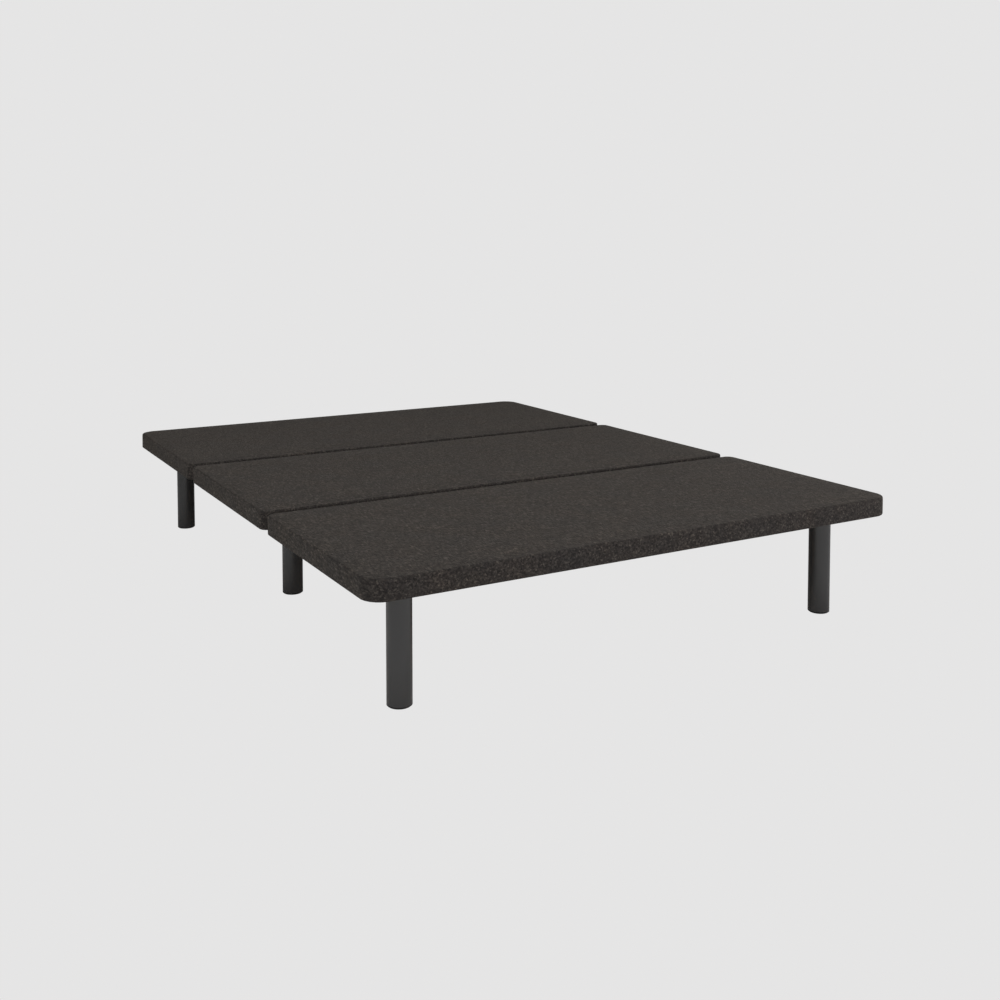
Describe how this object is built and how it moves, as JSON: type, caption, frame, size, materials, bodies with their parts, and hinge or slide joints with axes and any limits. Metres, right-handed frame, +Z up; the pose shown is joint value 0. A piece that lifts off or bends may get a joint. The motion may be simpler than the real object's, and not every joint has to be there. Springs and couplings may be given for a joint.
{
  "type": "adjustable bed base",
  "caption": "Flat upholstered bed base on round steel legs; head and foot panels hinge up from a fixed seat panel, each lifted by a linear actuator.",
  "frame": {"origin": "centre of the bed base on the floor, under its leg glides", "axes": "+X across the bed, +Y along the bed towards the head, +Z up"},
  "size_m": [1.524, 2.032, 0.33],
  "materials": {
    "tweed_fabric": "heathered charcoal tweed",
    "foam": "open-cell foam",
    "plywood": "sanded plywood",
    "leg_powder_coat": "satin dark grey powder coat",
    "frame_powder_coat": "satin black powder coat",
    "zinc_steel": "zinc plated",
    "black_oxide_steel": "black oxide",
    "bright_steel": "ground steel",
    "bronze": "oiled bronze",
    "rubber": "matt rubber",
    "black_plastic": "fine textured"
  },
  "bodies": {
    "chassis": {"left_side_rail": "frame_powder_coat", "right_side_rail": "frame_powder_coat", "head_end_beam": "frame_powder_coat", "foot_end_beam": "frame_powder_coat", "center_beam": "frame_powder_coat", "head_hinge_beam": "frame_powder_coat", "foot_hinge_beam": "frame_powder_coat", "leg_head_left": "leg_powder_coat", "leg_head_right": "leg_powder_coat", "leg_middle_left": "leg_powder_coat", "leg_middle_right": "leg_powder_coat", "leg_foot_left": "leg_powder_coat", "leg_foot_right": "leg_powder_coat", "leg_glides": "rubber", "leg_plates": "frame_powder_coat", "chassis_bolts": "zinc_steel", "rest_pads": "rubber", "seat_cover": "tweed_fabric", "seat_foam": "foam", "seat_board": "plywood", "seat_screws": "zinc_steel", "hinge_brackets": "frame_powder_coat", "motor_brackets": "frame_powder_coat", "pivot_pins": "black_oxide_steel", "control_box": "black_plastic", "control_box_lid": "black_plastic", "power_supply": "black_plastic", "power_inlet": "black_plastic"},
    "head_section": {"head_cover": "tweed_fabric", "head_foam": "foam", "head_board": "plywood", "head_frame_rails": "frame_powder_coat", "head_cross_tubes": "frame_powder_coat", "head_hinge_arms": "frame_powder_coat", "head_hinge_bushes": "bronze", "head_lift_bracket": "frame_powder_coat", "head_screws": "zinc_steel"},
    "foot_section": {"foot_cover": "tweed_fabric", "foot_foam": "foam", "foot_board": "plywood", "foot_frame_rails": "frame_powder_coat", "foot_cross_tubes": "frame_powder_coat", "foot_hinge_arms": "frame_powder_coat", "foot_hinge_bushes": "bronze", "foot_lift_bracket": "frame_powder_coat", "foot_screws": "zinc_steel"},
    "head_actuator": {"head_gearbox": "black_plastic", "head_motor": "black_plastic", "head_outer_tube": "bright_steel", "head_lead_screw": "bright_steel"},
    "head_rod": {"head_push_rod": "bright_steel", "head_drive_nut": "bronze", "head_rod_pin": "zinc_steel"},
    "foot_actuator": {"foot_gearbox": "black_plastic", "foot_motor": "black_plastic", "foot_outer_tube": "bright_steel", "foot_lead_screw": "bright_steel"},
    "foot_rod": {"foot_push_rod": "bright_steel", "foot_drive_nut": "bronze", "foot_rod_pin": "zinc_steel"}
  },
  "joints": [
    {"name": "head_hinge", "type": "hinge", "parent": "chassis", "child": "head_section", "pos_m": [0, 0.34, 0.312], "axis": [1, 0, 0], "range_deg": [0, 60]},
    {"name": "foot_hinge", "type": "hinge", "parent": "chassis", "child": "foot_section", "pos_m": [0, -0.351, 0.312], "axis": [-1, 0, 0], "range_deg": [0, 40]},
    {"name": "head_actuator_pivot", "type": "hinge", "parent": "chassis", "child": "head_actuator", "pos_m": [0.12, -0.045, 0.20324], "axis": [1, 0, 0], "range_deg": [0, 0.8]},
    {"name": "head_rod_slide", "type": "slide", "parent": "head_actuator", "child": "head_rod", "axis": [0, 1, 0], "range_m": [0, 0.1215]},
    {"name": "foot_actuator_pivot", "type": "hinge", "parent": "chassis", "child": "foot_actuator", "pos_m": [-0.12, 0.034, 0.20324], "axis": [-1, 0, 0], "range_deg": [-1.4, 0]},
    {"name": "foot_rod_slide", "type": "slide", "parent": "foot_actuator", "child": "foot_rod", "axis": [0, -1, 0], "range_m": [0, 0.0825]}
  ],
  "couplings": [
    {"joint": "head_actuator_pivot", "follows": "head_hinge", "ratio": 0.0126},
    {"joint": "head_rod_slide", "follows": "head_hinge", "m_per_rad": 0.11526},
    {"joint": "foot_actuator_pivot", "follows": "foot_hinge", "ratio": -0.03274},
    {"joint": "foot_rod_slide", "follows": "foot_hinge", "m_per_rad": 0.11735}
  ]
}
